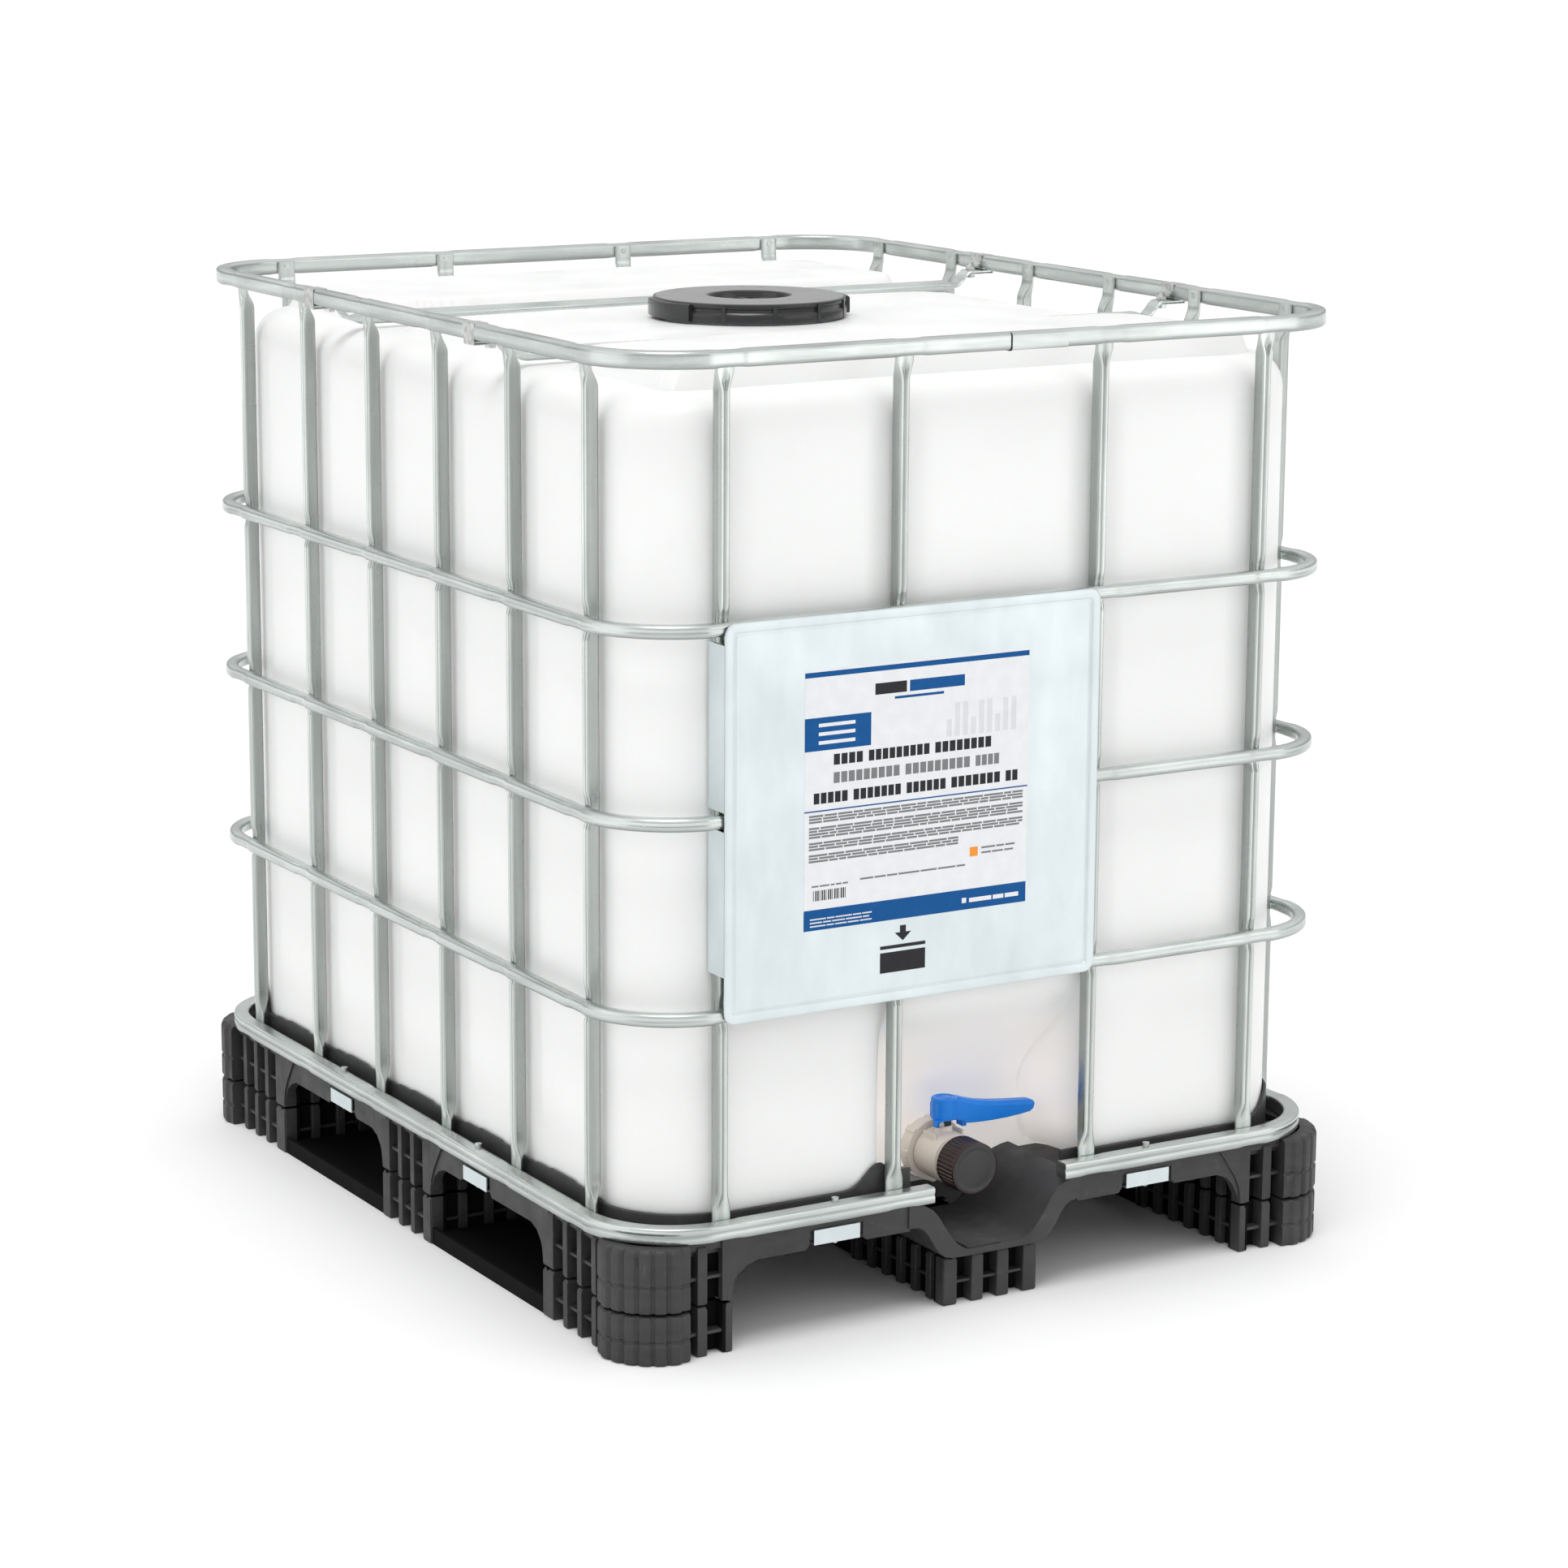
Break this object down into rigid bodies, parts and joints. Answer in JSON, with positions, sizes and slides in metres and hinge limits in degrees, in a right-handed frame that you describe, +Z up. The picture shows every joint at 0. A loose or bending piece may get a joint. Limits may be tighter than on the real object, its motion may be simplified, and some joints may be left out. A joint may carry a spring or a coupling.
{
  "type": "intermediate bulk container",
  "caption": "Blow-moulded liquid bottle in a galvanised tube cage on a plastic four-way pallet, with a screw filling lid and a bottom butterfly valve",
  "frame": {"origin": "bottom centre of the pallet's footprint, on the floor", "axes": "+X is the width with the front (label plate and valve) seen square on, +Y is the depth from the front to the back, +Z is up"},
  "size_m": [1, 1.2, 1.15],
  "materials": {
    "pallet_plastic": "moulded recycled plastic, faint grain",
    "galvanised_tube": "hot-dip galvanised, satin",
    "galvanised_sheet": "galvanised sheet, satin with fine spangle",
    "fastener_steel": "zinc plated",
    "label_film": null,
    "bottle_hdpe": "natural HDPE, slightly translucent",
    "black_plastic": "moulded, satin",
    "cream_plastic": "natural plastic, semi-matt",
    "blue_plastic": "moulded, semi-gloss",
    "seal_rubber": "EPDM rubber"
  },
  "bodies": {
    "container": {"pallet_deck": "pallet_plastic", "deck_feet": "pallet_plastic", "skid_left": "pallet_plastic", "skid_centre": "pallet_plastic", "skid_right": "pallet_plastic", "skid_screws": "fastener_steel", "cage_clips": "galvanised_tube", "clip_screws": "fastener_steel", "bottom_ring": "galvanised_tube", "lower_ring": "galvanised_tube", "middle_ring": "galvanised_tube", "upper_ring": "galvanised_tube", "top_ring": "galvanised_tube", "verticals_front": "galvanised_tube", "verticals_back": "galvanised_tube", "verticals_left": "galvanised_tube", "verticals_right": "galvanised_tube", "crossbar_front": "galvanised_tube", "crossbar_rear": "galvanised_tube", "crossbar_straps": "galvanised_tube", "crossbar_bolts": "fastener_steel", "crossbar_nuts": "fastener_steel", "label_plate": "galvanised_sheet", "label_sticker": "label_film", "bottle": "bottle_hdpe", "valve_nut": "cream_plastic", "flange_gasket": "seal_rubber", "valve_body": "cream_plastic", "stem_seal": "seal_rubber"},
    "lid_rise": {"lid_gasket": "seal_rubber"},
    "lid": {"filling_lid": "black_plastic"},
    "vent_rise": {"vent_gasket": "seal_rubber"},
    "vent": {"vent_plug": "black_plastic"},
    "lever": {"valve_stem": "black_plastic", "valve_disc": "cream_plastic", "disc_seal": "seal_rubber", "valve_lever": "blue_plastic", "lever_screw": "fastener_steel"},
    "cap_travel": {"cap_gasket": "seal_rubber"},
    "cap": {"outlet_cap": "black_plastic"}
  },
  "joints": [
    {"name": "lid_rise", "type": "slide", "parent": "container", "child": "lid_rise", "axis": [0, 0, 1], "range_m": [0, 0.0161]},
    {"name": "lid_turn", "type": "hinge", "parent": "lid_rise", "child": "lid", "pos_m": [0, 0, 1.125], "axis": [0, 0, 1], "range_deg": [0, 720]},
    {"name": "vent_rise", "type": "slide", "parent": "lid", "child": "vent_rise", "axis": [0, 0, 1], "range_m": [0, 0.0101]},
    {"name": "vent_turn", "type": "hinge", "parent": "vent_rise", "child": "vent", "pos_m": [0, 0, 1.13], "axis": [0, 0, 1], "range_deg": [0, 720]},
    {"name": "lever_turn", "type": "hinge", "parent": "container", "child": "lever", "pos_m": [0, -0.472, 0.15], "axis": [0, 0, -1], "range_deg": [0, 90]},
    {"name": "cap_travel", "type": "slide", "parent": "container", "child": "cap_travel", "axis": [0, -1, 0], "range_m": [0, 0.0181]},
    {"name": "cap_turn", "type": "hinge", "parent": "cap_travel", "child": "cap", "pos_m": [0, -0.52, 0.15], "axis": [0, -1, 0], "range_deg": [0, 1080]}
  ],
  "couplings": [
    {"joint": "lid_rise", "follows": "lid_turn", "m_per_rad": 0.0012732},
    {"joint": "vent_rise", "follows": "vent_turn", "m_per_rad": 0.00079577},
    {"joint": "cap_travel", "follows": "cap_turn", "m_per_rad": 0.00095493}
  ]
}
